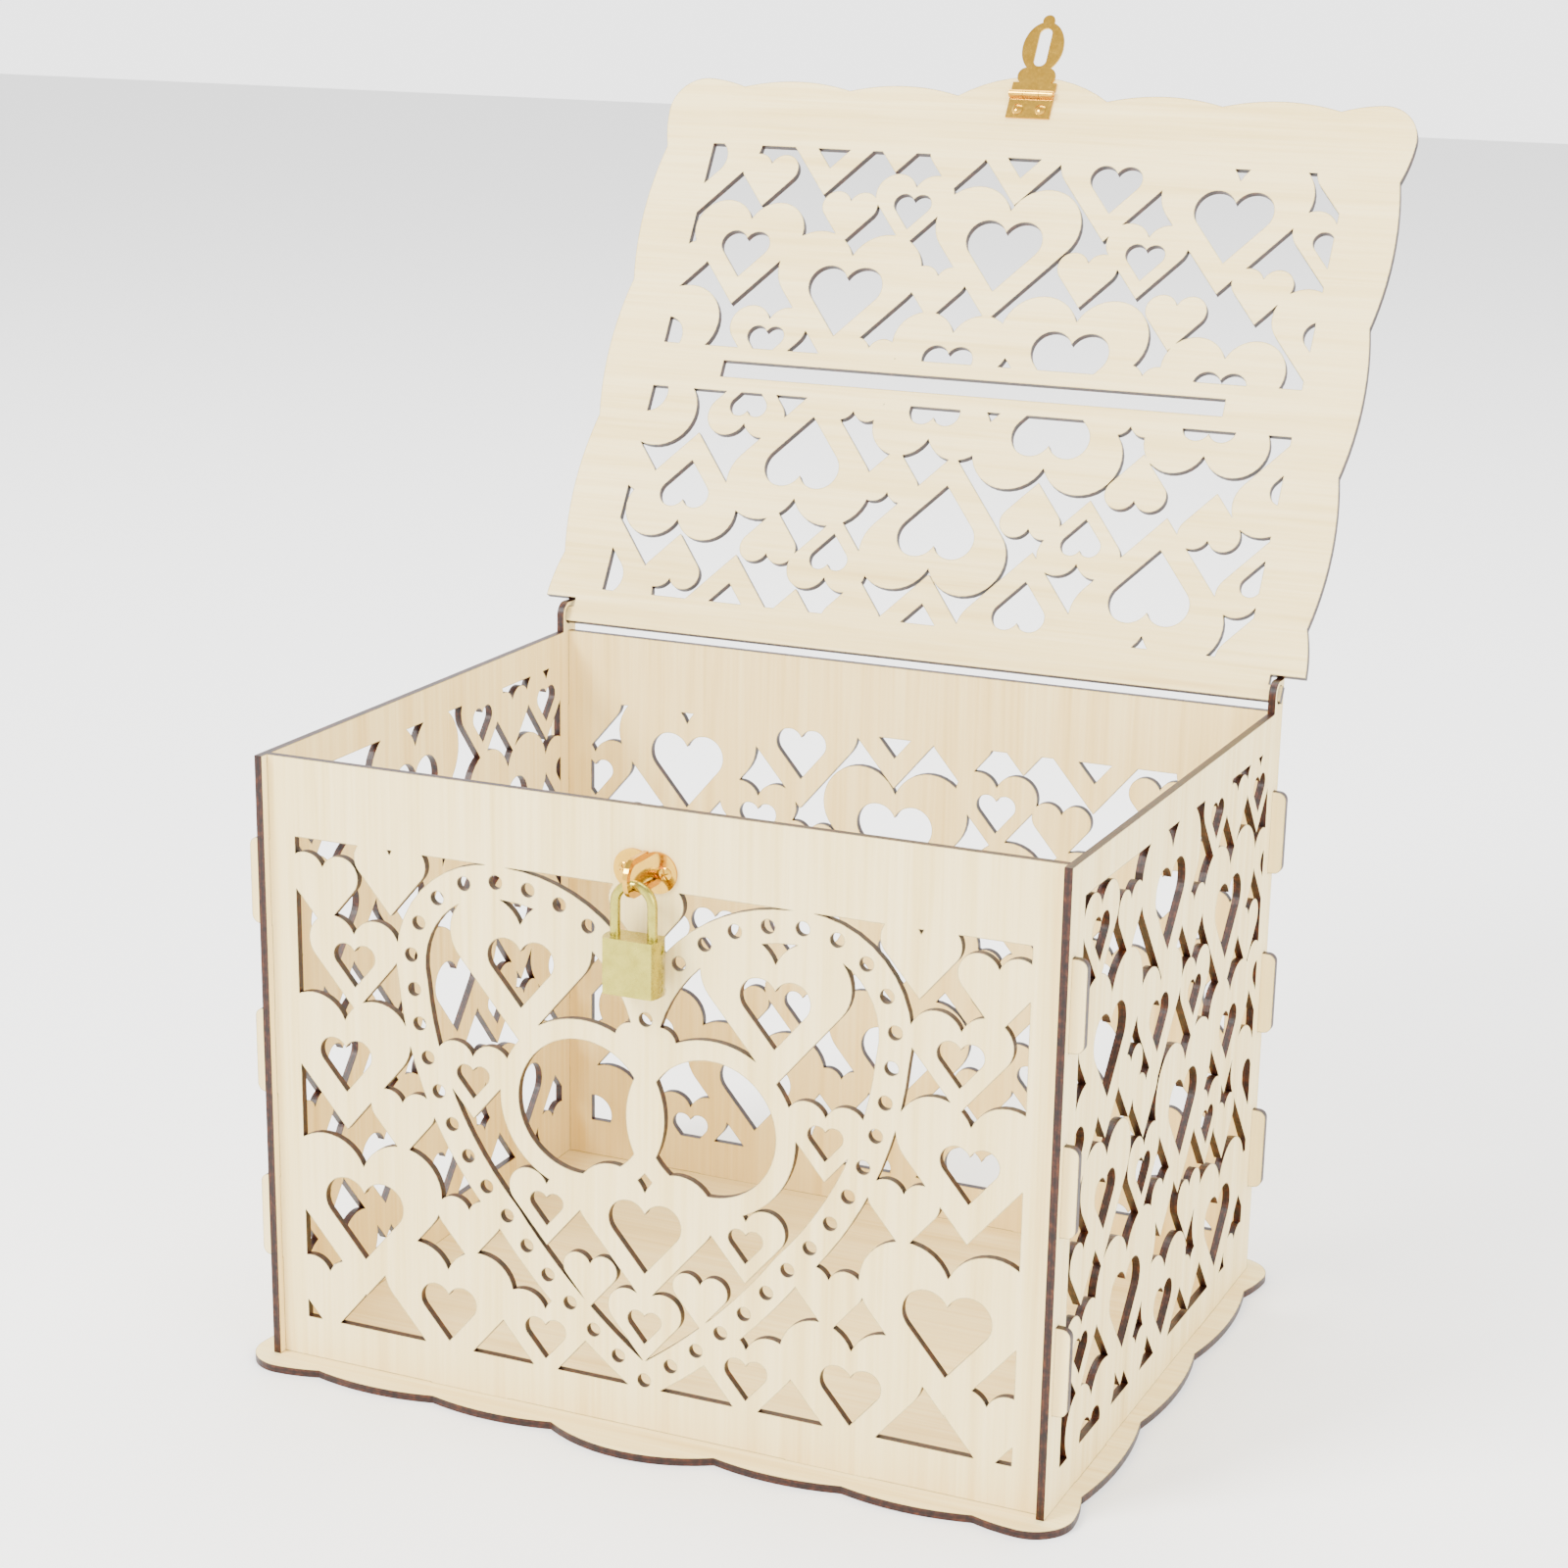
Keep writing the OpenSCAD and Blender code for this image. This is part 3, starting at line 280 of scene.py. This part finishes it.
# ---- Floor and light --------------------------------------------------------------------------------------
light_target = Vector((0, 0, 0.18))
floor_half = 6.0


def make_floor():
    """Plain pale floor under the box."""
    half = floor_half
    mesh = bpy.data.meshes.new("floor")
    mesh.from_pydata([(-half, -half, 0), (half, -half, 0), (half, half, 0), (-half, half, 0)], [], [(0, 1, 2, 3)])
    floor = bpy.data.objects.new("floor", mesh)
    shader = Shader("floor")
    shader.surface.inputs["Base Color"].default_value = (0.98, 0.98, 0.98, 1)
    shader.surface.inputs["Roughness"].default_value = 0.7
    mesh.materials.append(shader.material)
    bpy.context.scene.collection.objects.link(floor)


def soft_light(name, place, size, power, tint=(1, 1, 1)):
    """Square area light that faces the middle of the box."""
    data = bpy.data.lights.new(name, "AREA")
    data.shape = "SQUARE"
    data.size = size
    data.energy = power
    data.color = tint
    light = bpy.data.objects.new(name, data)
    aim = (light_target - Vector(place)).to_track_quat("-Z", "Y").to_matrix().to_4x4()
    light.matrix_world = Matrix.Translation(place) @ aim
    bpy.context.scene.collection.objects.link(light)


make_floor()
soft_light("key", (-1.5, -2.2, 2.4), 1.2, 200, (1.0, 0.985, 0.96))
soft_light("fill", (2.6, -1.2, 1.2), 1.6, 60)
soft_light("top", (0.0, 0.8, 2.8), 2.0, 110)

# Bright around the horizon and grey overhead, so that polished metal has something dark to mirror
world = bpy.data.worlds.new("studio")
world.use_nodes = True
sky = world.node_tree
place = sky.nodes.new("ShaderNodeTexCoord")
split = sky.nodes.new("ShaderNodeSeparateXYZ")
shade = sky.nodes.new("ShaderNodeValToRGB")
shade.color_ramp.elements[0].position = 0.32
shade.color_ramp.elements[0].color = (1, 1, 1, 1)
shade.color_ramp.elements[1].position = 0.75
shade.color_ramp.elements[1].color = (0.42, 0.42, 0.42, 1)
sky.links.new(place.outputs["Generated"], split.inputs[0])
sky.links.new(split.outputs["Z"], shade.inputs["Fac"])
sky.links.new(shade.outputs["Color"], sky.nodes["Background"].inputs["Color"])
sky.nodes["Background"].inputs["Strength"].default_value = 3.2
bpy.context.scene.world = world
